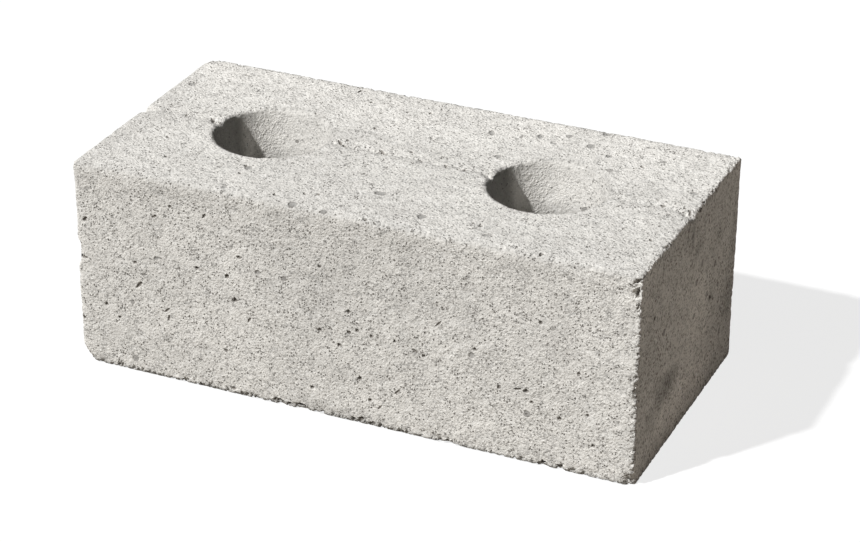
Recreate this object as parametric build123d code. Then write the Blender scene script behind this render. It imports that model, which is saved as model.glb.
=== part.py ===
"""Dry-cast concrete block with two blind drafted sockets and a core-bar mark along its top.

Units are millimetres. +X runs along the block, +Z points up, and the long face
towards -Y is the front. The origin is the middle of the bed, the face it rests on.
"""
import math
import os

from build123d import *

# Overall size
length = 280.0
width = 135.0
height = 105.0

# Radii of the long edges, seen on the end section
front_top_round = 2.0
back_top_round = 2.4
front_bed_round = 2.5
back_bed_round = 2.5

# Radii of the cross edges, over the two ends: the left end is worn, the right end is crisp
left_top_round = 5.0
left_bed_round = 10.5
right_top_round = 1.8
right_bed_round = 2.5

# Radii of the upright edges, seen on the plan
left_front_round = 5.0
left_back_round = 9.0
right_front_round = 1.8
right_back_round = 2.5

# Sockets: two tapered cores leave them, a quarter of the length from each end
socket_spacing = length / 2
rim_radius = 28.0
draft_degrees = 6.0
floor_thickness = 20.0
floor_round = 8.0
lip_drop = 0.6
lip_round = 1.5

# Core-bar mark: the bar that carries the cores leaves a shallow trough along this line of the top
bar_y = 0.6
mark_depth = 0.8
mark_front_run = 2.6
mark_back_run = 8.0
mark_front_round = 3.0
mark_root_round = 2.0
mark_back_round = 18.0

# Nicks: where the bar met the mould's ends and the cores, the trough drops into a short tilted V
nick_depth = 3.8
nick_front_run = 8.1
nick_back_run = 3.4
end_nick_run = 11.0
rim_nick_run = 8.0

# How far a cutter runs past the face that it opens
overrun = 2.0


def rounded_outline(corners):
    """Joins the corners into a face and rounds each by its own radius."""
    outline = make_face(Polyline(*[(a, b) for a, b, radius in corners], close=True))
    for a, b, radius in corners:
        corner = outline.vertices().sort_by_distance((a, b, 0))[0]
        outline = fillet(corner, radius)
    return outline


def end_section():
    """The block's section across its length, with the core-bar mark in its top line."""
    half = width / 2
    section = rounded_outline([
        (-half, 0, front_bed_round),
        (half, 0, back_bed_round),
        (half, height, back_top_round),
        (bar_y + mark_back_run, height, mark_back_round),
        (bar_y, height - mark_depth, mark_root_round),
        (bar_y - mark_front_run, height, mark_front_round),
        (-half, height, front_top_round),
    ])
    return extrude(Plane.YZ.offset(-length / 2) * section, length)


def rounding_bar(x, z, radius):
    """A bar across the block that takes a square cross edge down to its round."""
    outward = math.copysign(1, x)
    upward = math.copysign(1, z - height / 2)
    centre_x = x - outward * radius
    centre_z = z - upward * radius
    reach = radius + overrun
    square = Pos(centre_x + outward * reach / 2, centre_z + upward * reach / 2) * Rectangle(reach, reach)
    profile = square - Pos(centre_x, centre_z) * Circle(radius)
    return extrude(Plane.XZ.offset(-width / 2 - overrun) * profile, width + 2 * overrun)


def plan():
    """The block's outline seen from above, with the upright edges rounded."""
    outline = rounded_outline([
        (-length / 2, -width / 2, left_front_round),
        (length / 2, -width / 2, right_front_round),
        (length / 2, width / 2, right_back_round),
        (-length / 2, width / 2, left_back_round),
    ])
    return extrude(Pos(0, 0, -overrun) * outline, height + 2 * overrun)


def socket():
    """The space one core leaves: a drafted wall, a rounded floor and a slightly worn lip."""
    lip_z = height - lip_drop
    floor_radius = rim_radius - (lip_z - floor_thickness) * math.tan(math.radians(draft_degrees))
    top_z = height + overrun
    profile = make_face(Polyline(
        (0, floor_thickness),
        (floor_radius, floor_thickness),
        (rim_radius, lip_z),
        (rim_radius + lip_drop + overrun, top_z),
        (0, top_z),
        close=True,
    ))
    lip = profile.vertices().sort_by_distance((rim_radius, lip_z, 0))[0]
    profile = fillet(lip, lip_round)
    foot = profile.vertices().sort_by_distance((floor_radius, floor_thickness, 0))[0]
    profile = fillet(foot, floor_round)
    return revolve(Plane.XZ * profile, Axis.Z)


def nick(open_x, inward, run):
    """A tilted V-shaped spike, nick_depth deep where it opens and level with the top one run further in."""
    rise = nick_depth + overrun
    widening = rise / nick_depth
    reach = run * widening
    beyond = 1 + overrun / reach
    top_z = height + overrun
    mouth = make_face(Polyline(
        (bar_y - nick_front_run * widening * beyond, top_z),
        (bar_y, top_z - rise * beyond),
        (bar_y + nick_back_run * widening * beyond, top_z),
        close=True,
    ))
    tip = Vertex(open_x + inward * reach, bar_y, top_z)
    return loft([Plane.YZ.offset(open_x - inward * overrun) * mouth, tip])


def build_block():
    """Trims the end section to the plan, rounds its cross edges, then takes out sockets and nicks."""
    body = end_section() & plan()
    body -= rounding_bar(-length / 2, height, left_top_round)
    body -= rounding_bar(-length / 2, 0, left_bed_round)
    body -= rounding_bar(length / 2, height, right_top_round)
    body -= rounding_bar(length / 2, 0, right_bed_round)
    body -= nick(-length / 2, 1, end_nick_run)
    body -= nick(length / 2, -1, end_nick_run)
    core = socket()
    for side in (-1, 1):
        centre_x = side * socket_spacing / 2
        body -= Pos(centre_x, 0, 0) * core
        body -= nick(centre_x - rim_radius, -1, rim_nick_run)
    return body


os.makedirs("parts", exist_ok=True)
block = build_block()
export_step(block, "parts/block.step")
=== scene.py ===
"""Looks of a dry-cast concrete block with two grip sockets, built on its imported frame.

The block is cast in mesh code inside the CAD part's box, with its sockets and its core-bar
mark. It is crumbled along its edges, pitted over its faces and dressed in a sandy concrete
that is made of nodes. Sizes are in millimetres where nothing else is said. +X runs along
the block, -Y is the front and +Z is up.
"""

import logging
import math
from dataclasses import dataclass, field
from enum import Enum

import bmesh
import bpy
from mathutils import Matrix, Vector, kdtree, noise
from mathutils.bvhtree import BVHTree

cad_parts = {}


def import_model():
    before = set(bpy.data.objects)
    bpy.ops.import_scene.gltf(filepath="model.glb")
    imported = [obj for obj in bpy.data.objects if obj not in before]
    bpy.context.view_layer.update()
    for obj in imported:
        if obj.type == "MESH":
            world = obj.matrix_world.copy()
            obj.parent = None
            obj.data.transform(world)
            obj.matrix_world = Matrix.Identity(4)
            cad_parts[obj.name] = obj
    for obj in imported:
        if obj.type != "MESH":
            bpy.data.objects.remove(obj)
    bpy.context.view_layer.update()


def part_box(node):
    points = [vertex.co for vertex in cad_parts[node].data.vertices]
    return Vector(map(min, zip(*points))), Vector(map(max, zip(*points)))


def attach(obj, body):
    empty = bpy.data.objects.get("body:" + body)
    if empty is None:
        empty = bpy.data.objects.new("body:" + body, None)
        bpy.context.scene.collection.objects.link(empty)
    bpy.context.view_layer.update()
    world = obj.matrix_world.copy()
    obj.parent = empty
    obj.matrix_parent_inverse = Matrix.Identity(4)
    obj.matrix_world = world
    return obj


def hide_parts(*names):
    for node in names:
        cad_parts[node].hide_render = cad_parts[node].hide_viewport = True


MM = 0.001  # one millimetre, in metres
OVERRUN = 2.0  # how far a cutter runs past the face that it opens, in millimetres
BODY = "root"
NODE = "block"

log = logging.getLogger("block")

Output = bpy.types.NodeSocket
Pair = tuple[float, float]
Triple = tuple[float, float, float]
Colour = tuple[float, float, float, float]


class Side(Enum):
    """The direction each face of the block looks in."""

    FRONT = (0, -1, 0)
    BACK = (0, 1, 0)
    LEFT = (-1, 0, 0)
    RIGHT = (1, 0, 0)
    TOP = (0, 0, 1)
    BED = (0, 0, -1)

    def flat(self, point: Vector) -> Pair:
        """Returns a point's two coordinates in the face's own plane."""
        return tuple(p for p, out in zip(point, self.value) if not out)

    def lift(self, across: float, up: float, low: Vector, high: Vector) -> Vector:
        """Stands a place of the face's plane in space.

        Args:
            across: Its first coordinate in the plane.
            up: Its second coordinate in the plane.
            low: The block's lowest corner.
            high: The block's highest corner.

        Returns:
            The point on that face.
        """
        spare = iter((across, up))
        ends = {-1: low, 1: high}
        return Vector([ends[out][axis] if out else next(spare) for axis, out in enumerate(self.value)])


class Ease(Enum):
    """How a value is carried from one range to another in a material."""

    STRAIGHT = "LINEAR"
    SMOOTH = "SMOOTHSTEP"


class Flaw(Enum):
    """What kind of small thing shows on a face."""

    PIT = "pit"
    STONE = "stone"
    PATCH = "patch"


def smooth(low: float, high: float, value: float) -> float:
    """Eases a value from 0 at low to 1 at high, and holds it at 0 and 1 beyond them."""
    t = min(max((value - low) / (high - low), 0.0), 1.0)
    return t * t * (3.0 - 2.0 * t)


def grain(point: Vector, size: float, seed: float) -> float:
    """Samples one of many smooth noises, from about -1 to 1, with lumps of a stated size in millimetres."""
    return noise.noise(point / size + Vector((seed, 1.7 * seed, -seed)))


def squarely(share: float) -> float:
    """Returns 0 to 1 for how squarely a surface looks along an axis, from its normal's share of it."""
    return smooth(0.3, 0.9, share)


def placed(name: str, data: bpy.types.ID) -> bpy.types.Object:
    """Makes an object at the origin and links it to the scene.

    Args:
        name: The object's name.
        data: Its mesh, lamp or camera.

    Returns:
        The object.
    """
    made = bpy.data.objects.new(name, data)
    bpy.context.scene.collection.objects.link(made)
    return made


def as_object(bm: bmesh.types.BMesh, name: str) -> bpy.types.Object:
    """Turns a bmesh into an object.

    Args:
        bm: The mesh, which is freed.
        name: The object's name.

    Returns:
        The object, linked.
    """
    mesh = bpy.data.meshes.new(name)
    bm.to_mesh(mesh)
    bm.free()
    return placed(name, mesh)


def settled(source: bpy.types.Object, name: str) -> bpy.types.Object:
    """Copies an object under a new name, with its modifiers applied, and links the copy."""
    depsgraph = bpy.context.evaluated_depsgraph_get()
    return placed(name, bpy.data.meshes.new_from_object(source.evaluated_get(depsgraph)))


@dataclass(frozen=True)
class Arris:
    """One long edge of the block, where two faces meet.

    Attributes:
        sides: The two faces that meet there.
        radius: How round the edge is cast.
        reach: How far from the edge the crumbling runs.
        depth: How deep the crumbling bites.
        pale: How much pale sand shows along it.
        tone: How bright its round is next to the faces, a painted shade that dims the round where it catches
            more light than the faces.
        crisp: Whether its crumbling is fine enough to need the finest mesh.
    """

    sides: tuple[Side, Side]
    radius: float
    reach: float
    depth: float
    pale: float = 0.15
    tone: float = 1.0
    crisp: bool = False

    def signs(self) -> tuple[int, int, int]:
        """Returns the edge's place as -1, 0 or 1 on each axis, 0 on the one it runs along."""
        first, second = (side.value for side in self.sides)
        return tuple(a + b for a, b in zip(first, second))

    def off(self, point: Vector, centre: Vector, half: Vector) -> float:
        """Returns how far a point is from the rounded edge of a block, from its middle and half its size."""
        gaps = [p - (c + s * h) for p, c, s, h in zip(point, centre, self.signs(), half) if s]
        return math.hypot(*gaps) - (math.sqrt(2.0) - 1.0) * self.radius


@dataclass(frozen=True)
class Chip:
    """A place where a crumb of the casting has broken away.

    Attributes:
        place: Its middle, in millimetres in the row frame.
        reach: Its half sizes along X, Y and Z.
        depth: How far the surface sinks at its middle.
    """

    place: Triple
    reach: Triple
    depth: float

    def bite(self, point: Vector) -> float:
        """Works out how far the chip sinks a point.

        Args:
            point: The point, in millimetres.

        Returns:
            The depth there, in millimetres.
        """
        off = [(p - c) / r for p, c, r in zip(point, self.place, self.reach)]
        inside = 1.0 - sum(value * value for value in off)
        return self.depth * smooth(0.0, 0.8, inside + 0.3 * grain(point, 2.4, seed=14.0))


@dataclass(frozen=True)
class Spot:
    """A pit, a flush stone or a smooth patch that shows on one face.

    Attributes:
        kind: What it is.
        side: The face it is on.
        across: Where its middle is along the face's first axis.
        up: Where its middle is along the face's second axis.
        long: Half its length.
        short: Half its width.
        turn: How far its length is turned from the first axis, in degrees.
    """

    kind: Flaw
    side: Side
    across: float
    up: float
    long: float
    short: float
    turn: float

    def cover(self, point: Vector) -> float:
        """Works out how far inside the spot's ragged outline a point is.

        Args:
            point: The point, in millimetres.

        Returns:
            1 in its middle and 0 outside it.
        """
        across, up = self.side.flat(point)
        across -= self.across
        up -= self.up
        cosine = math.cos(math.radians(self.turn))
        sine = math.sin(math.radians(self.turn))
        along = cosine * across + sine * up
        aside = cosine * up - sine * across
        off = math.hypot(along / self.long, aside / self.short)
        raggedness = 0.4 if self.kind is Flaw.PIT else 0.25
        ragged = off + raggedness * grain(point, max(0.8, 0.6 * self.short), seed=40.0)
        pit_edge = 1.18 - 0.16 * self.short
        edges = {Flaw.PIT: (pit_edge, pit_edge - 0.38), Flaw.STONE: (1.05, 0.7), Flaw.PATCH: (1.1, 0.4)}
        return smooth(*edges[self.kind], ragged)


@dataclass(frozen=True)
class Shade:
    """A soft lighter or darker area on one face, some painted light and shade and some dark patches.

    Attributes:
        side: The face it is on.
        across: Where its middle is along the face's first axis.
        up: Where its middle is along the face's second axis.
        wide: Half its size along the first axis.
        tall: Half its size along the second axis.
        gain: How much brighter it is, or darker when it is negative.
    """

    side: Side
    across: float
    up: float
    wide: float
    tall: float
    gain: float

    def share(self, point: Vector) -> float:
        """Works out how much brighter the shade makes a point.

        Args:
            point: The point, in millimetres.

        Returns:
            The gain there, fading out from the middle.
        """
        across, up = self.side.flat(point)
        off = math.hypot((across - self.across) / self.wide, (up - self.up) / self.tall)
        return self.gain * smooth(1.3, 0.1, off + 0.35 * grain(point, 6.0, seed=51.0))


@dataclass
class Socket:
    """The tapered round hole that one core leaves.

    Attributes:
        centre_x: Where its axis stands along the block.
        rim_radius: Its radius at the lip.
        draft_degrees: How far its wall leans from upright.
        floor_z: Its floor's height.
        floor_round: The radius between wall and floor.
        lip_drop: How far the worn lip reaches down.
    """

    centre_x: float
    rim_radius: float = 28.0
    draft_degrees: float = 6.0
    floor_z: float = 20.0
    floor_round: float = 8.0
    lip_drop: float = 0.3

    def plug(self, top_z: float) -> bpy.types.Object:
        """Spins the solid that is taken out of the block.

        Args:
            top_z: The block's top.

        Returns:
            The plug.
        """
        lip_z = top_z - self.lip_drop
        above = top_z + OVERRUN
        lean = math.tan(math.radians(self.draft_degrees))
        floor_radius = self.rim_radius - (lip_z - self.floor_z) * lean
        bm = bmesh.new()
        outline = [
            (0.0, self.floor_z),
            (floor_radius, self.floor_z),
            (self.rim_radius, lip_z),
            (self.rim_radius + self.lip_drop + OVERRUN, above),
            (0.0, above),
        ]
        verts = [bm.verts.new((r * MM, 0.0, z * MM)) for r, z in outline]
        for pair in zip(verts, verts[1:]):
            bm.edges.new(pair)
        bmesh.ops.bevel(
            bm, geom=[verts[1]], offset=self.floor_round * MM, offset_type="OFFSET",
            affect="VERTICES", segments=6, profile=0.5, material=-1,
        )
        bmesh.ops.spin(
            bm, geom=bm.verts[:] + bm.edges[:], cent=(0, 0, 0), axis=(0, 0, 1), dvec=(0, 0, 0),
            angle=math.tau, steps=128, use_merge=True,
        )
        bmesh.ops.remove_doubles(bm, verts=bm.verts[:], dist=0.01 * MM)
        bmesh.ops.translate(bm, verts=bm.verts[:], vec=(self.centre_x * MM, 0.0, 0.0))
        bmesh.ops.recalc_face_normals(bm, faces=bm.faces[:])
        return as_object(bm, "plug")

    def inside(self, point: Vector) -> float:
        """Returns how far inside the rim's upright cylinder a point is, in millimetres."""
        return self.rim_radius - math.hypot(point.x - self.centre_x, point.y)


@dataclass
class BarMark:
    """The shallow trough under the core bar, and the nicks where it met the ends and the cores.

    Attributes:
        line_y: The line it follows along the top.
        depth: How deep the trough is.
        front_run: How far its front slope reaches.
        back_run: How far its back slope reaches.
        nick_depth: How deep a nick opens.
        nick_front_run: How far a nick's gentle front slope reaches.
        nick_back_run: How far its steep back slope reaches.
        end_run: How far along the block an end nick fades out.
        rim_run: How far a rim nick fades out.
        rim_share: How large a rim nick is next to an end nick.
        rough_run: How far the roughness reaches past the slopes.
    """

    line_y: float = 0.6
    depth: float = 0.6
    front_run: float = 2.6
    back_run: float = 8.0
    nick_depth: float = 3.8
    nick_front_run: float = 8.1
    nick_back_run: float = 3.4
    end_run: float = 11.0
    rim_run: float = 7.0
    rim_share: float = 0.8
    rough_run: float = 2.0

    def spike(
        self, open_x: float, inward: int, run: float, slopes: Triple, top_z: float, fades: bool = True
    ) -> bpy.types.Object:
        """Makes a V-shaped bar that is taken out of the top.

        Args:
            open_x: Where along the block it opens.
            inward: The direction it runs in, 1 or -1 along X.
            run: How far it runs.
            slopes: Its front reach, its depth and its back reach at the opening.
            top_z: The block's top.
            fades: Whether it runs out to a point, or goes on at full depth.

        Returns:
            The bar.
        """
        front, depth, back = slopes
        above = top_z + OVERRUN
        grow = (depth + OVERRUN) / depth
        beyond = 1.0 + OVERRUN / (run * grow) if fades else 1.0
        outline = [
            (self.line_y - front * grow * beyond, above),
            (self.line_y, above - (depth + OVERRUN) * beyond),
            (self.line_y + back * grow * beyond, above),
        ]
        bm = bmesh.new()
        start = (open_x - inward * OVERRUN) * MM
        mouth = bm.faces.new([bm.verts.new((start, y * MM, z * MM)) for y, z in outline])
        drawn = bmesh.ops.extrude_face_region(bm, geom=[mouth], use_keep_orig=True)["geom"]
        far = [item for item in drawn if isinstance(item, bmesh.types.BMVert)]
        if fades:
            tip = Vector((open_x + inward * run * grow, self.line_y, above)) * MM
            bmesh.ops.pointmerge(bm, verts=far, merge_co=tip)
        else:
            bmesh.ops.translate(bm, verts=far, vec=(inward * (run + 2.0 * OVERRUN) * MM, 0.0, 0.0))
        bmesh.ops.recalc_face_normals(bm, faces=bm.faces[:])
        return as_object(bm, "bar")

    def bars(self, low: Vector, high: Vector, sockets: list[Socket]) -> list[bpy.types.Object]:
        """Makes the trough and its four nicks.

        Args:
            low: The block's lowest corner.
            high: Its highest corner.
            sockets: The holes.

        Returns:
            The bars to take out.
        """
        trough = (self.front_run, self.depth, self.back_run)
        nick = (self.nick_front_run, self.nick_depth, self.nick_back_run)
        worn = tuple(self.rim_share * size for size in nick)
        made = [self.spike(low.x, 1, high.x - low.x, trough, high.z, fades=False)]
        made.append(self.spike(low.x, 1, self.end_run, nick, high.z))
        made.append(self.spike(high.x, -1, self.end_run, nick, high.z))
        for socket in sockets:
            made.append(self.spike(socket.centre_x - socket.rim_radius, -1, self.rim_run, worn, high.z))
        return made

    def band(self, point: Vector) -> float:
        """Works out how far inside the mark's rough band a point is.

        Args:
            point: The point, in millimetres.

        Returns:
            1 in the band's middle and 0 outside it.
        """
        middle = self.line_y + 0.5 * (self.back_run - self.front_run)
        half = 0.5 * (self.back_run + self.front_run) + self.rough_run
        return smooth(half, half * 0.5, abs(point.y - middle))

    def line(self, point: Vector) -> float:
        """Returns 1 on the thin line under the bar and 0 more than a millimetre from it."""
        wander = 0.5 * grain(point, 18.0, seed=61.0)
        return smooth(1.1, 0.3, abs(point.y - self.line_y - wander))


@dataclass
class NodeBench:
    """The node tree of a material or of the sky, with short ways to add and join nodes."""

    tree: bpy.types.NodeTree

    def add(self, kind: str, **settings: object) -> bpy.types.Node:
        """Adds a node.

        Args:
            kind: The node's type.
            settings: Its properties by name.

        Returns:
            The node.
        """
        node = self.tree.nodes.new(kind)
        for name, value in settings.items():
            setattr(node, name, value)
        return node

    def feed(self, socket: bpy.types.NodeSocket, value: object) -> None:
        """Links an output to an input, or sets the input to a plain value.

        Args:
            socket: The input.
            value: The output or the plain value.
        """
        if isinstance(value, Output):
            self.tree.links.new(value, socket)
        else:
            socket.default_value = value

    def end(self, kind: str, surface: Output) -> None:
        """Ends the tree in an output node of a stated type, which shows a surface."""
        self.feed(self.add(kind).inputs["Surface"], surface)

    def painted(self, name: str) -> Output:
        """Returns the number that the mesh carries under a name."""
        return self.add("ShaderNodeAttribute", attribute_name=name).outputs["Fac"]

    def maths(self, operation: str, *values: object) -> Output:
        """Adds a Math node.

        Args:
            operation: What it does.
            values: Its inputs, each a link or a number.

        Returns:
            Its output.
        """
        node = self.add("ShaderNodeMath", operation=operation)
        for socket, value in zip(node.inputs, values):
            self.feed(socket, value)
        return node.outputs[0]

    def carry(self, value: object, start: Pair, end: Pair = (0.0, 1.0), ease: Ease = Ease.SMOOTH) -> Output:
        """Carries a value from one range to another and clamps it.

        Args:
            value: The value.
            start: The range it comes in.
            end: The range it leaves in.
            ease: How it is carried.

        Returns:
            The new value.
        """
        node = self.add("ShaderNodeMapRange", interpolation_type=ease.value, clamp=True)
        for socket, item in zip(node.inputs, (value, *start, *end)):
            self.feed(socket, item)
        return node.outputs[0]

    def mix(self, share: object, under: object, over: object) -> Output:
        """Mixes two colours.

        Args:
            share: How much of the second.
            under: The first colour.
            over: The second colour.

        Returns:
            The mixed colour.
        """
        node = self.add("ShaderNodeMix", data_type="RGBA")
        self.feed(node.inputs[0], share)
        self.feed(node.inputs[6], under)
        self.feed(node.inputs[7], over)
        return node.outputs[2]

    def tint(self, colour: object, *shares: object) -> Output:
        """Multiplies a colour by one or more numbers.

        Args:
            colour: The colour.
            shares: The numbers.

        Returns:
            The tinted colour.
        """
        total = shares[0]
        for share in shares[1:]:
            total = self.maths("MULTIPLY", total, share)
        node = self.add("ShaderNodeVectorMath", operation="SCALE")
        self.feed(node.inputs[0], colour)
        self.feed(node.inputs["Scale"], total)
        return node.outputs[0]

    def pattern(self, kind: str, place: object, size: float, **inputs: float) -> bpy.types.Node:
        """Adds a texture node whose features have a stated size in millimetres.

        Args:
            kind: The node's type.
            place: Where to sample.
            size: A feature's size.
            inputs: Its other inputs by name.

        Returns:
            The node.
        """
        node = self.add(kind)
        self.feed(node.inputs["Vector"], place)
        node.inputs["Scale"].default_value = 1.0 / size
        for name, value in inputs.items():
            node.inputs[name].default_value = value
        return node

    def cloud(
        self, place: object, size: float, detail: float, rough: float = 0.5, twist: float = 0.0
    ) -> Output:
        """Adds soft noise.

        Args:
            place: Where to sample.
            size: A lump's size in millimetres.
            detail: How many finer layers it has.
            rough: How strong those are.
            twist: How far it is distorted.

        Returns:
            A value around 0.5.
        """
        node = self.pattern(
            "ShaderNodeTexNoise", place, size, Detail=detail, Roughness=rough, Distortion=twist
        )
        return node.outputs["Fac"]

    def warp(self, place: object, size: float, reach: float) -> Output:
        """Shifts places by noise, so that what is drawn there loses its even outline.

        Args:
            place: Where to sample.
            size: A lump's size in millimetres.
            reach: How far a place may move.

        Returns:
            The shifted place.
        """
        node = self.pattern("ShaderNodeTexNoise", place, size, Detail=1.0)
        shift = self.add("ShaderNodeVectorMath", operation="MULTIPLY_ADD")
        self.feed(shift.inputs[0], node.outputs["Color"])
        shift.inputs[1].default_value = (2.0 * reach,) * 3
        self.feed(shift.inputs[2], place)
        return shift.outputs[0]

    def cells(self, place: object, size: float) -> tuple[Output, Output]:
        """Adds packed cells.

        Args:
            place: Where to sample.
            size: A cell's size in millimetres.

        Returns:
            The distance to the cell's middle, and a draw from 0 to 1 for each cell.
        """
        node = self.pattern("ShaderNodeTexVoronoi", place, size)
        split = self.add("ShaderNodeSeparateColor")
        self.feed(split.inputs[0], node.outputs["Color"])
        return node.outputs["Distance"], split.outputs[0]


def bench_of(owner: bpy.types.Material | bpy.types.World) -> NodeBench:
    """Turns on the nodes of a material or of the sky, and clears them.

    Args:
        owner: The material or the sky.

    Returns:
        Its empty bench.
    """
    owner.use_nodes = True
    owner.node_tree.nodes.clear()
    return NodeBench(owner.node_tree)


@dataclass(frozen=True)
class ConcreteFinish:
    """Sandy dry-cast concrete: cement paste over packed sand, with pinholes and a few flush stones.

    Attributes:
        paste: The colour of clean cement paste.
        sand_pale: The palest sand.
        sand_dark: The darkest sand.
        hollow: The painted shade down in a pinhole or a pit.
        stone: The colour of the flush stones.
        speck_and_shadow: The colour of dirt and damp.
        sand_size: A coarse sand grain's size.
        grit_size: A fine sand grain's size.
        fine_size: The size of the finest roughness.
        lump_size: The size of the cast's soft lumps.
        pinhole_size: How far apart pinholes may stand.
        speck_size: The size of a dark speck.
        stone_gap: How far apart flush stones may lie.
        sand_relief: How far coarse sand stands out.
        grit_relief: How far fine sand stands out.
        fine_relief: How high the finest roughness is.
        lump_relief: How high the soft lumps are.
        hole_relief: How far a pinhole stands out, which is below zero.
        roughness: How matt it is.
        shine: How much light its surface throws back unstained.
    """

    paste: Colour = (0.78, 0.757, 0.713, 1.0)
    sand_pale: Colour = (0.88, 0.865, 0.83, 1.0)
    sand_dark: Colour = (0.47, 0.45, 0.415, 1.0)
    hollow: Colour = (0.175, 0.155, 0.135, 1.0)
    stone: Colour = (0.38, 0.37, 0.35, 1.0)
    # speck_and_shadow: The colour of the dark specks, and of the painted shadow ring round each flush stone.
    speck_and_shadow: Colour = (0.22, 0.195, 0.175, 1.0)
    sand_size: float = 1.35
    grit_size: float = 0.72
    fine_size: float = 0.75
    lump_size: float = 3.6
    pinhole_size: float = 1.15
    speck_size: float = 1.35
    stone_gap: float = 10.0
    sand_relief: float = 0.14
    grit_relief: float = 0.06
    fine_relief: float = 0.28
    lump_relief: float = 0.40
    hole_relief: float = -0.45
    roughness: float = 0.93
    shine: float = 0.25

    def pinholes(self, bench: NodeBench, place: object) -> Output:
        """Scatters ragged pinholes, in clusters and thickest where the cast is open.

        Args:
            bench: The material's bench.
            place: Where to sample.

        Returns:
            1 in a hole and 0 outside.
        """
        open_cast = bench.painted("pitted")
        cluster = bench.carry(bench.cloud(place, 6.0, 2.0), (0.42, 0.66), (0.08, 0.65))
        share = bench.maths("MULTIPLY", cluster, open_cast)
        off, draw = bench.cells(bench.warp(place, 1.1, 0.5), self.pinhole_size)
        here = bench.maths("LESS_THAN", draw, share)
        dots = bench.maths("MULTIPLY", bench.carry(off, (0.46, 0.24), (0.0, 0.95)), here)
        ease = bench.maths("MULTIPLY", open_cast, 0.06)
        small = bench.maths("ADD", bench.cloud(place, 1.2, 1.5, 0.55, 0.4), ease)
        return bench.maths("MAXIMUM", bench.carry(small, (0.745, 0.80)), dots)

    def stones(self, bench: NodeBench, place: object) -> Output:
        """Scatters a few small stones that lie flush with the surface.

        Args:
            bench: The material's bench.
            place: Where to sample.

        Returns:
            1 on a stone and 0 outside.
        """
        off, draw = bench.cells(bench.warp(place, 2.5, 0.7), self.stone_gap)
        here = bench.maths("GREATER_THAN", draw, 0.93)
        return bench.maths("MULTIPLY", bench.carry(off, (0.20, 0.14), (0.0, 0.6)), here)

    def dark_specks(self, bench: NodeBench, place: object) -> Output:
        """Speckles and darkens the concrete where it is painted as darkened.

        Args:
            bench: The material's bench.
            place: Where to sample.

        Returns:
            1 on the darkest speck and 0 where the concrete is not darkened.
        """
        darkened = bench.painted("darkened")
        off, draw = bench.cells(bench.warp(place, 1.6, 0.5), self.speck_size)
        cover = bench.carry(bench.maths("SUBTRACT", darkened, draw), (-0.1, 0.2), (0.0, 0.7))
        specks = bench.maths("MULTIPLY", cover, bench.carry(off, (0.75, 0.35)))
        soft = bench.carry(bench.cloud(place, 1.2, 2.0, 0.7), (0.38, 0.62), (0.1, 0.6))
        return bench.maths("MULTIPLY_ADD", darkened, soft, specks)

    def material(self) -> bpy.types.Material:
        """Builds the node material.

        Returns:
            The material.
        """
        made = bpy.data.materials.new("dry_cast_concrete")
        bench = bench_of(made)
        scale = bench.add("ShaderNodeMapping")
        bench.feed(scale.inputs["Vector"], bench.add("ShaderNodeTexCoord").outputs["Object"])
        scale.inputs["Scale"].default_value = (1.0 / MM,) * 3
        place = scale.outputs[0]

        fine = bench.cloud(place, self.fine_size, 1.0, 0.6)
        lump = bench.cloud(place, self.lump_size, 2.0, 0.55)
        grit_off, grit_draw = bench.cells(bench.warp(place, 0.9, 0.2), self.grit_size)
        off, draw = bench.cells(bench.warp(place, 1.6, 0.45), self.sand_size)
        hole = bench.maths("MAXIMUM", self.pinholes(bench, place), bench.painted("hollow"))
        stone = bench.maths("MAXIMUM", self.stones(bench, place), bench.painted("stone"))
        patch = bench.carry(bench.cloud(place, 5.5, 1.0), (0.56, 0.68))
        open_cast = bench.carry(bench.painted("pitted"), (0.0, 0.4), (0.15, 1.0))
        sandy = bench.carry(bench.cloud(place, 5.0, 2.0), (0.40, 0.62), (0.16, 0.55))
        sandy = bench.maths("MULTIPLY", sandy, open_cast)

        dark_sand = bench.maths("MULTIPLY", bench.carry(draw, (0.20, 0.05), (0.0, 0.5)), open_cast)
        pale_sand = bench.carry(draw, (0.80, 0.95), (0.0, 0.4))
        core = bench.carry(off, (0.62, 0.34))
        colour = bench.mix(bench.maths("MULTIPLY", dark_sand, core), self.paste, self.sand_dark)
        colour = bench.mix(bench.maths("MULTIPLY", pale_sand, core), colour, self.sand_pale)
        colour = bench.mix(bench.maths("MULTIPLY", patch, 0.25), colour, self.sand_pale)
        colour = bench.mix(bench.maths("MULTIPLY", bench.painted("worn"), 0.45), colour, self.sand_pale)
        colour = bench.tint(
            colour,
            bench.carry(bench.maths("DIVIDE", grit_draw, sandy), (0.0, 1.0), (0.56, 1.0), Ease.STRAIGHT),
            bench.carry(grit_draw, (0.75, 1.0), (1.0, 1.12), Ease.STRAIGHT),
        )
        # A dark ring round each flush stone is a painted shadow at its edge.
        inner = bench.carry(stone, (0.7, 0.35))
        rim = bench.maths("MULTIPLY", bench.carry(stone, (0.05, 0.3), (0.0, 0.6)), inner)
        colour = bench.mix(bench.carry(stone, (0.2, 0.5), (0.0, 0.9)), colour, self.stone)
        colour = bench.mix(bench.maths("ADD", rim, self.dark_specks(bench, place)), colour, self.speck_and_shadow)
        # Pits and pinholes are darkened by painted shade.
        colour = bench.mix(bench.maths("MULTIPLY", hole, 0.85), colour, self.hollow)
        # The painted tone carries the painted light and shade of faces, rounds and sockets.
        colour = bench.tint(
            colour,
            bench.carry(lump, (0.30, 0.70), (0.96, 1.03), Ease.STRAIGHT),
            bench.carry(bench.cloud(place, 22.0, 3.0), (0.3, 0.7), (0.95, 1.04)),
            bench.carry(bench.cloud(place, 90.0, 2.0), (0.35, 0.65), (0.98, 1.02)),
            bench.painted("tone"),
        )

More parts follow.
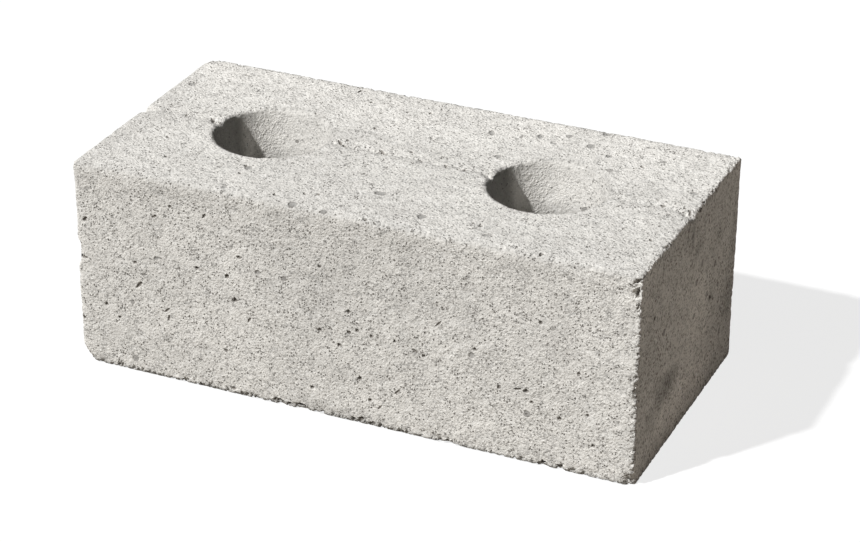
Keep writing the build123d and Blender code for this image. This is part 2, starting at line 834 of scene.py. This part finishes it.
        height = bench.maths("MULTIPLY", bench.carry(off, (0.65, 0.1)), self.sand_relief)
        grit = bench.carry(grit_off, (0.6, 0.1))
        for layer, relief in ((grit, self.grit_relief), (fine, self.fine_relief), (lump, self.lump_relief)):
            height = bench.maths("MULTIPLY_ADD", layer, relief, height)
        calm = bench.maths("MAXIMUM", stone, bench.maths("MULTIPLY", patch, 0.5))
        height = bench.maths("MULTIPLY", height, bench.carry(calm, (0.0, 1.0), (1.0, 0.35), Ease.STRAIGHT))
        height = bench.maths("MULTIPLY_ADD", hole, self.hole_relief, height)
        bump = bench.add("ShaderNodeBump")
        bump.inputs["Strength"].default_value = 1.0
        bump.inputs["Distance"].default_value = MM
        bench.feed(bump.inputs["Height"], height)

        shader = bench.add("ShaderNodeBsdfPrincipled")
        shader.inputs["Roughness"].default_value = self.roughness
        shader.inputs["Specular IOR Level"].default_value = self.shine
        bench.feed(shader.inputs["Base Color"], colour)
        bench.feed(shader.inputs["Normal"], bump.outputs[0])
        bench.end("ShaderNodeOutputMaterial", shader.outputs[0])
        return made


def seen_spots() -> list[Spot]:
    """Lists the pits, stones and patches that stand out on the faces.

    Returns:
        The spots.
    """
    listed = {
        (Flaw.PIT, Side.TOP): (
            (-55.5, 64.5, 0.9), (-53.2, 60.5, 1.9, 0.7, 80.0), (-112.5, 55.0, 1.0), (-42.5, 50.7, 0.9),
            (-22.0, 47.8, 0.9), (-11.5, 51.3, 0.8), (-33.0, 41.5, 0.8), (-28.2, 24.2, 0.9), (0.7, 25.2, 0.9),
            (-117.0, 1.2, 0.9), (-102.7, 1.2, 2.6, 0.7, -45.0), (-36.4, 3.4, 2.6, 0.8, -50.0),
            (-32.6, 0.6, 1.8, 0.8, -30.0), (-34.0, 6.6, 1.5, 0.7, -60.0), (-14.0, 2.0, 3.2, 0.9, -42.0),
            (-11.2, -0.2, 1.3), (-1.5, 6.7, 1.0), (18.6, 0.8, 2.0, 0.6, -55.0), (20.0, -1.6, 0.9),
            (25.6, -1.0, 1.4, 0.6, -60.0), (28.9, -0.6, 1.6, 0.7, -70.0), (-63.3, -46.3, 0.9),
            (-64.6, -38.0, 1.0), (-112.5, -25.5, 0.8), (-102.5, -44.7, 0.9), (-38.5, -60.0, 0.9),
            (-20.8, -51.7, 1.0), (-26.0, -47.5, 0.7), (-26.8, -53.6, 1.2, 0.6, -50.0), (-11.0, -23.5, 0.8),
            (101.5, 36.8, 1.2, 0.8, -20.0), (123.8, 3.2, 1.3), (118.8, -1.0, 0.7),
            (136.6, 2.4, 1.6, 0.6, -60.0), (136.3, -2.2, 1.0), (133.6, 4.2, 0.8), (58.0, -50.3, 1.1),
            (54.0, -49.0, 0.7), (92.5, -64.5, 1.3), (119.0, -52.5, 0.9), (130.6, -32.0, 1.4, 0.6, -65.0),
            (9.0, -65.5, 1.4, 0.8, -30.0),
        ),
        (Flaw.STONE, Side.TOP): (
            (-62.5, -39.6, 1.9), (-75.0, -44.2, 1.1), (-3.2, -31.8, 1.0), (-27.0, -65.0, 2.2),
            (-63.0, -62.3, 1.3), (24.0, 42.5, 2.8, 1.3, -65.0), (46.5, 48.5, 2.4, 1.4, -75.0),
            (55.0, 43.6, 1.7, 0.9, 0.0), (72.0, 47.4, 2.2), (74.0, 63.0, 1.9), (83.6, 41.0, 1.5),
            (97.5, 57.5, 1.2), (132.5, 20.2, 2.0, 1.4, 0.0), (36.6, 19.6, 1.5), (4.0, -39.0, 2.9, 2.2, 0.0),
            (30.5, -52.3, 2.2), (64.0, -57.5, 2.0, 1.2, 20.0), (129.5, -6.0, 1.1), (-5.3, -13.0, 1.0),
            (-131.6, 34.0, 1.7),
        ),
        (Flaw.PIT, Side.FRONT): (
            (-134.6, 75.6, 1.8, 1.0, 60.0), (-136.6, 55.6, 2.6, 0.8, 0.0), (-107.0, 47.2, 2.6, 0.9, 50.0),
            (-92.6, 37.0, 1.7, 0.6, 45.0), (-91.8, 33.0, 1.6, 0.6, 80.0), (-108.6, 58.6, 1.1, 0.8, 0.0),
            (-125.3, 33.0, 1.1), (-138.0, 23.0, 1.0), (-118.5, 27.5, 0.8), (-62.0, 22.6, 0.9),
            (-60.5, 61.6, 1.2), (-54.0, 72.6, 1.5, 0.9, 0.0), (-56.8, 50.2, 1.4),
            (-49.4, 41.6, 1.4, 0.6, 60.0), (-13.6, 44.5, 1.1), (-3.6, 39.0, 1.1), (-17.8, 13.8, 1.0),
            (-71.6, 90.0, 1.4, 0.7, 60.0), (-89.0, 91.2, 0.9), (-76.2, 62.4, 1.2),
            (-97.4, 84.6, 1.5, 0.6, 30.0), (-13.2, 76.8, 0.8), (1.0, 57.0, 1.1), (5.3, 48.6, 1.0),
            (1.2, 46.6, 1.0), (12.5, 47.0, 0.9), (24.0, 47.2, 0.9), (34.0, 44.6, 1.6, 0.8, -30.0),
            (38.2, 43.0, 1.0), (63.0, 52.2, 1.0), (45.4, 61.0, 2.0, 0.5, 45.0), (84.0, 37.0, 1.6, 0.7, 15.0),
            (88.0, 36.8, 1.3), (74.8, 35.8, 0.9), (93.7, 72.4, 0.9), (112.4, 51.4, 0.9), (117.3, 31.4, 0.9),
            (120.2, 16.6, 1.0), (25.4, 21.4, 1.9, 0.6, 50.0), (16.4, 11.0, 1.6, 0.5, 50.0), (11.6, 13.7, 1.0),
            (6.6, 24.2, 1.2), (104.0, 26.5, 1.2), (138.4, 102.4, 2.6, 1.2, 25.0), (90.8, 31.8, 0.9),
            (138.0, 96.6, 3.4, 1.6, 80.0), (138.4, 90.2, 1.8, 0.6, 60.0), (135.2, 99.8, 1.2, 0.6, -40.0),
            (-36.0, 2.6, 2.6, 1.2, 0.0), (-30.0, 1.8, 2.0, 0.9, 10.0), (-24.0, 2.4, 3.0, 1.3, 10.0),
            (-59.0, 3.2, 1.6, 1.0, 0.0), (7.0, 2.6, 1.7, 1.2, 40.0), (13.0, 2.0, 1.4, 0.8, 0.0),
            (51.0, 1.8, 2.2, 0.8, 0.0), (97.0, 2.4, 1.8, 1.2, 0.0), (105.0, 2.2, 2.0, 1.2, 0.0),
        ),
        (Flaw.STONE, Side.FRONT): (
            (-44.6, 67.2, 1.5, 0.9, 0.0), (-97.0, 63.2, 1.7, 0.8, 20.0), (61.6, 49.0, 1.4),
        ),
        (Flaw.PATCH, Side.FRONT): ((-121.0, 18.6, 7.6, 5.2, 25.0), (-56.0, 44.5, 3.6, 3.0, 0.0)),
        (Flaw.PIT, Side.RIGHT): ((30.0, 48.5, 1.9, 1.4, 0.0), (8.6, 103.0, 1.4), (-48.0, 76.0, 1.1)),
    }
    return [
        Spot(kind, side, across, up, long, *(shape or (long, 0.0)))
        for (kind, side), places in listed.items()
        for across, up, long, *shape in places
    ]


def seen_shades() -> list[Shade]:
    """Lists the lighter and darker areas of the faces, some painted light and shade and some dark patches.

    Returns:
        The shades.
    """
    listed = {
        Side.RIGHT: (
            # On the end, the lift along its foot is painted light against the floor's shadow.
            (8.0, 40.0, 24.0, 28.0, 0.22), (-4.0, 14.0, 46.0, 16.0, 0.38), (-28.0, 31.0, 16.0, 8.0, -0.33),
            (-38.0, 36.0, 10.0, 6.0, -0.20), (-48.0, 24.0, 12.0, 8.0, -0.12), (9.0, 84.0, 7.0, 5.0, -0.26),
            (0.0, 94.0, 3.0, 9.0, -0.26), (40.0, 78.0, 6.0, 5.0, -0.18), (30.0, 48.0, 5.0, 4.0, -0.20),
            (57.0, 36.0, 12.0, 16.0, -0.18), (4.0, 104.0, 90.0, 26.0, -0.07), (62.0, 66.0, 8.0, 30.0, -0.12),
            (-54.0, 50.0, 22.0, 50.0, -0.08), (0.0, 0.0, 90.0, 5.0, -0.18),
        ),
        Side.FRONT: (
            (-12.0, 0.0, 45.0, 8.0, -0.16), (-55.0, 49.7, 6.0, 4.0, -0.10), (0.0, 24.0, 26.0, 12.0, -0.05),
            (5.0, 68.0, 60.0, 34.0, -0.08), (86.0, 56.0, 40.0, 22.0, -0.06), (124.0, 96.0, 24.0, 12.0, 0.07),
        ),
        # Painted shade over the left end's round, which faces the light.
        Side.TOP: ((-136.0, 0.0, 10.0, 90.0, -0.05),),
    }
    return [Shade(side, *place) for side, places in listed.items() for place in places]


@dataclass
class CastBlock:
    """The concrete block itself.

    Attributes:
        low: The CAD box's lowest corner, in millimetres.
        high: Its highest corner.
        inset: How far the faces stand back, so that no grain leaves the CAD box.
        cell: The size of the plainest mesh cells, some of which are halved once or more.
        levels: How many times the finest ones are halved.
        margins: How far past a flaw the cells are halved the second, third and fourth time.
        sockets: The two holes.
        mark: The core bar's trough and nicks.
        arrises: The twelve edges.
        chips: The crumbs that are gone.
        flaws: The pits, stones and patches that stand out.
        shades: The lighter and darker areas.
        pit_depth: How deep a pit sinks for each millimetre of its half width.
        stone_depth: How far a stone lies below the surface.
        centre: The CAD box's middle.
        half: Half the CAD box's size.
    """

    low: Vector
    high: Vector
    inset: float = 0.1
    cell: float = 3.75
    levels: int = 4
    margins: Triple = (1.6, 0.8, 0.1)
    sockets: list[Socket] = field(default_factory=lambda: [Socket(-70.0), Socket(70.0)])
    mark: BarMark = field(default_factory=BarMark)
    arrises: list[Arris] = field(default_factory=lambda: [
        Arris((Side.FRONT, Side.TOP), 1.4, 3.0, 0.7, 0.1, 0.80, True),
        Arris((Side.BACK, Side.TOP), 2.4, 3.5, 1.1),
        Arris((Side.FRONT, Side.BED), 2.0, 4.0, 1.7, 0.0, 0.66, True),
        Arris((Side.BACK, Side.BED), 2.5, 5.0, 1.8),
        Arris((Side.LEFT, Side.TOP), 2.4, 3.5, 0.6, 0.0, 0.88),
        Arris((Side.LEFT, Side.BED), 10.5, 4.5, 1.0),
        Arris((Side.RIGHT, Side.TOP), 1.0, 2.2, 1.7, 0.1, 1.0, True),
        Arris((Side.RIGHT, Side.BED), 1.0, 3.0, 0.6, 0.0, 0.78),
        Arris((Side.LEFT, Side.FRONT), 1.5, 3.5, 0.35, 0.3),
        Arris((Side.LEFT, Side.BACK), 9.0, 3.5, 0.8),
        Arris((Side.RIGHT, Side.FRONT), 1.1, 3.2, 1.2, 0.45, 0.95, True),
        Arris((Side.RIGHT, Side.BACK), 1.6, 3.0, 0.8),
    ])
    chips: list[Chip] = field(default_factory=lambda: [
        Chip((138.4, -68.0, 101.8), (3.4, 2.6, 2.8), 1.1),
        Chip((138.0, -68.0, 96.2), (3.2, 2.5, 3.6), 1.0),
        Chip((139.6, -67.5, 90.0), (2.0, 2.5, 3.2), 0.8),
        Chip((140.0, -67.5, 3.0), (6.0, 5.0, 4.5), 2.4),
        Chip((140.0, -67.5, 48.0), (3.0, 4.0, 6.0), 1.2),
        Chip((-140.0, -67.5, 58.0), (3.5, 6.0, 8.0), 1.3),
        Chip((-34.0, -67.5, 0.8), (3.0, 3.0, 2.6), 1.2),
        Chip((-23.0, -67.5, 0.8), (5.0, 3.0, 2.4), 1.2),
        Chip((-15.0, -67.5, 0.0), (4.0, 4.0, 1.6), 0.9),
        Chip((51.0, -67.5, 0.0), (8.0, 4.0, 1.6), 0.9),
        Chip((97.0, -67.5, 0.8), (3.0, 3.0, 2.4), 1.2),
        Chip((105.0, -67.5, 0.8), (3.0, 3.0, 2.6), 1.2),
    ])
    flaws: list[Spot] = field(default_factory=seen_spots)
    shades: list[Shade] = field(default_factory=seen_shades)
    pit_depth: float = 0.8
    stone_depth: float = 0.25
    centre: Vector = field(init=False)
    half: Vector = field(init=False)

    def __post_init__(self) -> None:
        """Works out the CAD box's middle and half its size."""
        self.centre = (self.low + self.high) * 0.5
        self.half = (self.high - self.low) * 0.5

    def shell(self) -> bpy.types.Object:
        """Casts the plain block with each edge rounded by its own radius.

        Returns:
            The shell.
        """
        low = self.low + Vector((self.inset, self.inset, 0.0))
        high = self.high - Vector((self.inset, self.inset, self.inset))
        half = (high - low) * 0.5
        centre = (high + low) * 0.5
        widest = max(arris.radius for arris in self.arrises)
        bm = bmesh.new()
        bmesh.ops.create_cube(bm, size=2.0)
        bmesh.ops.scale(bm, verts=bm.verts[:], vec=half * MM)
        bmesh.ops.translate(bm, verts=bm.verts[:], vec=centre * MM)
        weight = bm.edges.layers.float.new("bevel_weight_edge")
        middles = {edge: (edge.verts[0].co + edge.verts[1].co) * 0.5 for edge in bm.edges}
        for arris in self.arrises:
            place = Vector(c + s * h for c, s, h in zip(centre, arris.signs(), half)) * MM
            nearest = min(middles, key=lambda edge: (middles[edge] - place).length)
            nearest[weight] = arris.radius / widest
        made = as_object(bm, "shell")
        rounds = made.modifiers.new("rounds", "BEVEL")
        rounds.limit_method = "WEIGHT"
        rounds.width = widest * MM
        rounds.segments = 6
        rounds.use_clamp_overlap = False
        return made

    def mould(self) -> bpy.types.Object:
        """Takes the sockets, the trough and the nicks out of the shell.

        Returns:
            The block with its exact surface.
        """
        shell = self.shell()
        top_z = self.high.z - self.inset
        cutters = [socket.plug(top_z) for socket in self.sockets]
        cutters += self.mark.bars(self.low, self.high, self.sockets)
        for cutter in cutters:
            cut = shell.modifiers.new(cutter.name, "BOOLEAN")
            cut.operation = "DIFFERENCE"
            cut.solver = "EXACT"
            cut.object = cutter
        made = settled(shell, "mould")
        for spare in [*cutters, shell]:
            bpy.data.objects.remove(spare, do_unlink=True)
        return made

    def cast(self) -> bpy.types.Object:
        """Lays an even mesh over the block, finer towards its edges and flaws, and seats it exactly.

        Returns:
            The cast block, not yet weathered.
        """
        mould = self.mould()
        exact = bmesh.new()
        exact.from_mesh(mould.data)
        surface = BVHTree.FromBMesh(exact)
        exact.free()
        skin = mould.modifiers.new("skin", "REMESH")
        skin.mode = "VOXEL"
        skin.voxel_size = self.cell * MM
        rough = settled(mould, "rough")
        bm = bmesh.new()
        bm.from_mesh(rough.data)
        for spare in (mould, rough):
            bpy.data.objects.remove(spare, do_unlink=True)
        for level in range(self.levels):
            edges = dict.fromkeys(edge for face in self.picked(bm, level) for edge in face.edges)
            bmesh.ops.subdivide_edges(bm, edges=list(edges), cuts=1, use_grid_fill=True)
            for vert in bm.verts:
                vert.co = surface.find_nearest(vert.co)[0]
        bmesh.ops.recalc_face_normals(bm, faces=bm.faces[:])
        return as_object(bm, "cast_block")

    def picked(self, bm: bmesh.types.BMesh, level: int) -> list[bmesh.types.BMFace]:
        """Picks the faces that are halved at one level of fineness.

        Args:
            bm: The mesh so far.
            level: 0 for all but the bed's middle, 1 near edges, rims, mark and flaws, then closer each time.

        Returns:
            The faces.
        """
        bm.faces.ensure_lookup_table()
        middles = [face.calc_center_median() / MM for face in bm.faces]
        near = {index for index, middle in enumerate(middles) if self.is_near(middle, level)}
        if level > 0:
            tree = kdtree.KDTree(len(middles))
            for index, middle in enumerate(middles):
                tree.insert(middle, index)
            tree.balance()
            for flaw in self.flaws:
                if flaw.kind is Flaw.PATCH or (level == self.levels - 1 and flaw.kind is Flaw.STONE):
                    continue
                place = flaw.side.lift(flaw.across, flaw.up, self.low, self.high)
                found = tree.find_range(place, flaw.long + self.margins[level - 1])
                near.update(index for _, index, _ in found)
        return [bm.faces[index] for index in sorted(near)]

    def is_near(self, point: Vector, level: int) -> bool:
        """Tells whether a place is near enough to an edge, a rim or the mark to be halved at one level.

        Args:
            point: The place, in millimetres.
            level: The level of fineness.

        Returns:
            Whether it is.
        """
        if level == 0:
            return point.z > 1.0 or self.edge_off(point) < 6.0
        if level == 1:
            on_top = self.high.z - point.z < 2.0
            on_mark = on_top and abs(point.y - self.mark.line_y) < self.mark.front_run
            return on_mark or self.edge_off(point) < 3.0 or self.rim_off(point) < 2.5
        return level == 2 and (self.edge_off(point, True) < 1.8 or self.rim_off(point) < 0.8)

    def edge_off(self, point: Vector, crisp: bool = False) -> float:
        """Returns how far a point is from the nearest edge, or the nearest crisp one, in millimetres."""
        edges = (arris for arris in self.arrises if arris.crisp or not crisp)
        return min(arris.off(point, self.centre, self.half) for arris in edges)

    def rim_off(self, point: Vector) -> float:
        """Returns how far a point is from the nearest socket's rim, in millimetres."""
        return min(math.hypot(socket.inside(point), self.high.z - point.z) for socket in self.sockets)

    def edge_bite(self, point: Vector) -> tuple[float, float, float]:
        """Works out how far the crumbling edges sink a point, and how they look.

        Args:
            point: The point, in millimetres.

        Returns:
            The depth in millimetres, how pale the point is, from 0 to 1, and how bright, 1 being plain.
        """
        bite = 0.0
        pale = 0.0
        tone = 1.0
        for arris in self.arrises:
            off = arris.off(point, self.centre, self.half)
            if off > arris.reach:
                continue
            near = smooth(arris.reach, 0.0, off)
            rough = 0.15 * grain(point, 6.0, seed=3.0)
            rough += 0.45 * grain(point, 2.0, seed=9.0)
            rough += 0.40 * grain(point, 1.1, seed=27.0)
            bite = max(bite, near * arris.depth * smooth(-0.04, 0.30 if arris.crisp else 0.42, rough))
            pale = max(pale, near * arris.pale)
            # A round's tone is painted shade, dimming it where it catches more light than the faces.
            tone = min(tone, 1.0 + (arris.tone - 1.0) * smooth(2.0, 0.5, off))
        return bite, pale, tone

    def face_tone(self, vert: bmesh.types.BMVert, point: Vector) -> float:
        """Works out how bright the concrete is at a point of a face, with painted light and shade.

        Args:
            vert: The point's vertex.
            point: Its place, in millimetres.

        Returns:
            The brightness, 1 being plain.
        """
        top = squarely(vert.normal.z)
        front = squarely(-vert.normal.y)
        right = squarely(vert.normal.x)
        # The top grows lighter towards the back and darker along the mark; the front and the end are painted
        # darker, as painted shade.
        back = 0.10 * smooth(-10.0, 70.0, point.y) - 0.03 * smooth(-20.0, -65.0, point.y)
        back -= 0.04 * smooth(22.0, 8.0, abs(point.y - 3.0))
        tone = 1.0 - 0.115 * front - 0.04 * right + top * (back - 0.015)
        # The shades add painted light and shade, and dark patches.
        for shade in self.shades:
            facing = squarely(vert.normal.dot(Vector(shade.side.value)))
            if facing:
                tone += facing * shade.share(point)
        return tone

    def face_bite(self, point: Vector, front: float) -> float:
        """Works out how far the faces themselves wave.

        Args:
            point: The point, in millimetres.
            front: How squarely the surface there looks forward, from 0 to 1.

        Returns:
            The depth in millimetres.
        """
        drop = self.high.z - point.z
        hollow = 0.55 * smooth(1.0, 14.0, drop) * smooth(60.0, 16.0, drop)
        wave = 0.22 * (grain(point, 45.0, seed=5.0) + 0.6)
        lumps = 0.20 * (grain(point, 6.0, seed=7.0) + 0.6)
        seat = 0.4 * smooth(4.0, 0.5, point.z)
        return front * hollow + max(max(wave, 0.0) + max(lumps, 0.0) - seat, 0.0)

    def wall_painted_shading(self, vert: bmesh.types.BMVert, drop: float) -> float:
        """Works out how bright the concrete is down a socket, with painted shade deep down, on its left and
        towards its front, and painted light where it faces the right end.

        Args:
            vert: The point's vertex.
            drop: How far it is below the top.

        Returns:
            The brightness, 1 being plain.
        """
        # Painted shade deep down, on the left wall and towards the front, and painted light where the wall
        # faces the right end.
        deep = smooth(16.0, 36.0, drop)
        left = smooth(0.80, 0.92, vert.normal.x)
        painted_lift = smooth(-0.4, 0.7, vert.normal.x)
        near_front = painted_lift * smooth(-0.3, 0.4, vert.normal.y)
        tone = (0.83 + 0.32 * painted_lift) * (1.0 - 0.65 * deep) * (1.0 - 0.58 * left)
        return tone * (1.0 - 0.30 * near_front)

    def weather(self, block: bpy.types.Object) -> None:
        """Crumbles, pits and roughens the cast surface, and notes where it is worn.

        Args:
            block: The cast block.
        """
        bm = bmesh.new()
        bm.from_mesh(block.data)
        bm.normal_update()
        bm.verts.ensure_lookup_table()
        names = ("pitted", "worn", "darkened", "stone", "hollow", "tone")
        paint = {name: bm.verts.layers.float.new(name) for name in names}
        tree = kdtree.KDTree(len(bm.verts))
        depths = []
        for vert in bm.verts:
            point = vert.co / MM
            tree.insert(point, vert.index)
            depths.append(self.wear(vert, point, paint))
        tree.balance()
        for flaw in self.flaws:
            place = flaw.side.lift(flaw.across, flaw.up, self.low, self.high)
            for spot, index, _ in tree.find_range(place, 1.6 * flaw.long):
                vert = bm.verts[index]
                if vert.normal.dot(Vector(flaw.side.value)) < 0.3:
                    continue
                cover = flaw.cover(spot)
                if flaw.kind is Flaw.PIT:
                    depths[index] += self.pit_depth * min(flaw.short, 1.2) * cover
                    vert[paint["hollow"]] = max(vert[paint["hollow"]], cover)
                elif flaw.kind is Flaw.STONE:
                    depths[index] += self.stone_depth * cover
                    vert[paint["stone"]] = max(vert[paint["stone"]], cover)
                else:
                    vert[paint["pitted"]] *= 1.0 - cover
                    vert[paint["stone"]] = max(vert[paint["stone"]], 0.12 * cover)
        moves = [vert.normal * -depth * MM for vert, depth in zip(bm.verts, depths)]
        for vert, move in zip(bm.verts, moves):
            vert.co += move
        for face in bm.faces:
            face.smooth = True
        bm.to_mesh(block.data)
        bm.free()

    def wear(
        self, vert: bmesh.types.BMVert, point: Vector, paint: dict[str, bmesh.types.BMLayerItem]
    ) -> float:
        """Works out how far one point of the surface is worn back, and paints its state.

        Args:
            vert: The point's vertex.
            point: Its place, in millimetres.
            paint: The layers it is painted on, by name.

        Returns:
            The depth in millimetres.
        """
        normal = vert.normal
        front = squarely(-normal.y)
        right = squarely(normal.x)
        top = squarely(normal.z)
        drop = self.high.z - point.z
        inside = max(socket.inside(point) for socket in self.sockets)
        in_socket = inside > -0.3 and drop > 0.5 and point.z > self.sockets[0].floor_z - 1.0
        bite, pale, tone = (0.0, 0.0, 1.0) if in_socket else self.edge_bite(point)
        tone *= self.wall_painted_shading(vert, drop) if in_socket else self.face_tone(vert, point)
        rim_off = self.rim_off(point)
        # Painted shade on the lip where it faces the light, so that it shows no bright ring.
        rim = smooth(2.2, 0.4, rim_off)
        lip = smooth(0.15, 0.5, normal.z) * smooth(0.0, 0.3, -normal.x - normal.y)
        tone *= 1.0 - 0.48 * rim * lip
        on_top = top * smooth(6.0, 2.0, drop) * (0.0 if in_socket else 1.0)
        band = self.mark.band(point) * on_top
        line = self.mark.line(point) * on_top
        rough = 0.5 * grain(point, 3.4, seed=21.0) + 0.5 * grain(point, 1.6, seed=33.0)
        bite += 0.4 * smooth(1.2, 0.0, rim_off) * smooth(0.0, 0.25, rough)
        bite += 0.7 * band * smooth(0.0, 0.6, rough)
        bite += 0.3 * line * smooth(0.0, 0.5, rough)
        bite += 0.0 if in_socket else self.face_bite(point, front)
        for chip in self.chips:
            bite += chip.bite(point)
        openness = 0.72 * front + 0.48 * top + 0.6 * right
        base = 0.26 * smooth(0.2, -0.5, normal.x) if in_socket else max(openness, 0.35)
        vert[paint["pitted"]] = min(1.2, base + 0.4 * band + 0.5 * line)
        vert[paint["worn"]] = pale
        # The end face is painted darker and speckled, the more under its darker shades.
        dark = (shade for shade in self.shades if shade.side is Side.RIGHT and shade.gain < 0.0)
        dark_share = sum(shade.share(point) for shade in dark)
        dark_specks = 0.0 if in_socket else right * smooth(0.5, 2.0, drop)
        vert[paint["darkened"]] = dark_specks * min(0.30 - 1.2 * dark_share, 0.8)
        vert[paint["tone"]] = tone
        vert[paint["stone"]] = 0.0
        vert[paint["hollow"]] = 0.0
        return max(bite, 0.0)

    def dress(self, block: bpy.types.Object, finish: ConcreteFinish) -> None:
        """Gives the block its concrete and ties it to the frame.

        Args:
            block: The weathered block.
            finish: Its finish.
        """
        block.data.materials.clear()
        block.data.materials.append(finish.material())
        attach(block, BODY)
        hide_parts(NODE)


@dataclass(frozen=True)
class Studio:
    """The plain floor, the light and the camera.

    Attributes:
        camera_place: Where the camera stands, in metres.
        camera_turn: Its rotation in degrees.
        lens: Its focal length for a 36 mm wide sensor.
        sun_azimuth: Where the key light comes from, counted from +X towards +Y, in degrees.
        sun_height: How high it stands, in degrees.
        sun_spread: How wide it looks, in degrees, which softens its shadows.
        sun_power: Its strength.
        sky_power: The strength of the light from all round.
        panel_place: Where the low soft panel stands beyond the right end, in metres.
        panel_size: Its width and its height, in metres.
        panel_power: Its strength.
        panel_colour: Its colour.
        floor_bounce: The colour the floor throws back onto the block.
        floor_seen: The colour the floor shows to the camera.
        floor_glow: The share of plain white in what the camera sees of the floor.
        glow_power: The strength of that white.
        floor_drop: How far below the bed the floor lies, in millimetres, so that the two never coincide.
    """

    camera_place: Triple = (0.46856, -1.02957, 0.63494)
    camera_turn: Triple = (62.4959, -0.2739, 24.0871)
    lens: float = 113.09
    sun_azimuth: float = 235.0
    sun_height: float = 46.0
    sun_spread: float = 2.0
    sun_power: float = 4.45
    sky_power: float = 0.02
    panel_place: Triple = (0.55, 0.0, 0.052)
    panel_size: Pair = (0.5, 0.09)
    panel_power: float = 0.23
    panel_colour: Triple = (1.0, 0.87, 0.76)
    floor_bounce: Colour = (0.26, 0.24, 0.21, 1.0)
    floor_seen: Colour = (0.95, 0.95, 0.95, 1.0)
    floor_glow: float = 0.75
    glow_power: float = 1.06
    floor_drop: float = 0.05

    def camera(self) -> None:
        """Stands the camera where the photograph was taken from."""
        data = bpy.data.cameras.new("camera")
        data.sensor_width = 36.0
        data.lens = self.lens
        made = placed("camera", data)
        made.location = self.camera_place
        made.rotation_euler = [math.radians(angle) for angle in self.camera_turn]
        bpy.context.scene.camera = made

    def sun(self) -> None:
        """Hangs the key light in front of the block, to its left."""
        data = bpy.data.lights.new("key", "SUN")
        data.energy = self.sun_power
        data.angle = math.radians(self.sun_spread)
        made = placed("key", data)
        tilt = math.radians(90.0 - self.sun_height)
        made.rotation_euler = (tilt, 0.0, math.radians(self.sun_azimuth + 90.0))

    def panel(self) -> None:
        """Stands a low soft panel beyond the right end, below the sockets' mouths."""
        data = bpy.data.lights.new("panel", "AREA")
        data.shape = "RECTANGLE"
        data.size, data.size_y = self.panel_size
        data.energy = self.panel_power
        data.color = self.panel_colour
        made = placed("panel", data)
        made.location = self.panel_place
        made.rotation_euler = (math.radians(90.0), 0.0, math.radians(90.0))
        made.visible_camera = False

    def seen(self, bench: NodeBench) -> Output:
        """Tells what the camera sees, straight, mirrored or through glass, from what only lights.

        Args:
            bench: The floor's or the sky's bench.

        Returns:
            1 for what is seen and 0 for lighting.
        """
        rays = bench.add("ShaderNodeLightPath")
        straight = bench.maths("MAXIMUM", rays.outputs["Is Camera Ray"], rays.outputs["Is Glossy Ray"])
        return bench.maths("MAXIMUM", straight, rays.outputs["Is Transmission Ray"])

    def sky(self) -> None:
        """Lights the block softly from all round and shows white behind it."""
        world = bpy.data.worlds.new("studio")
        bpy.context.scene.world = world
        bench = bench_of(world)
        shade = bench.add("ShaderNodeBackground")
        shade.inputs["Color"].default_value = (1.0, 1.0, 1.0, 1.0)
        power = bench.carry(self.seen(bench), (0.0, 1.0), (self.sky_power, 1.0), Ease.STRAIGHT)
        bench.feed(shade.inputs["Strength"], power)
        bench.end("ShaderNodeOutputWorld", shade.outputs[0])

    def floor(self) -> None:
        """Lays a plain pale floor that keeps the block's shadow."""
        bm = bmesh.new()
        bmesh.ops.create_grid(bm, x_segments=1, y_segments=1, size=4.0)
        bmesh.ops.translate(bm, verts=bm.verts[:], vec=(0.0, 0.0, -self.floor_drop * MM))
        made = as_object(bm, "floor")
        material = bpy.data.materials.new("pale_floor")
        bench = bench_of(material)
        seen = self.seen(bench)
        matt = bench.add("ShaderNodeBsdfDiffuse")
        bench.feed(matt.inputs["Color"], bench.mix(seen, self.floor_bounce, self.floor_seen))
        glow = bench.add("ShaderNodeEmission")
        bench.feed(glow.inputs["Strength"], bench.maths("MULTIPLY", seen, self.glow_power))
        both = bench.add("ShaderNodeMixShader")
        bench.feed(both.inputs[0], bench.maths("MULTIPLY", seen, self.floor_glow))
        bench.feed(both.inputs[1], matt.outputs[0])
        bench.feed(both.inputs[2], glow.outputs[0])
        bench.end("ShaderNodeOutputMaterial", both.outputs[0])
        made.data.materials.append(material)

    def build(self) -> None:
        """Sets up the whole studio."""
        self.floor()
        self.sky()
        self.sun()
        self.panel()
        self.camera()
        bpy.context.scene.view_settings.view_transform = "Standard"


def main() -> None:
    """Builds the block on its frame, dresses it and sets up the studio."""
    logging.basicConfig(level=logging.INFO, format="%(name)s: %(message)s")
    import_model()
    low, high = (Vector(corner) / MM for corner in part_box(NODE))
    body = CastBlock(low, high)
    block = body.cast()
    triangles = sum(len(face.vertices) - 2 for face in block.data.polygons)
    log.info("cast_block: cast in %d triangles", triangles)
    body.weather(block)
    body.dress(block, ConcreteFinish())
    log.info("cast_block: weathered and dressed")
    Studio().build()
    log.info("studio: floor, sky, key light and camera")


if __name__ == "__main__":
    main()
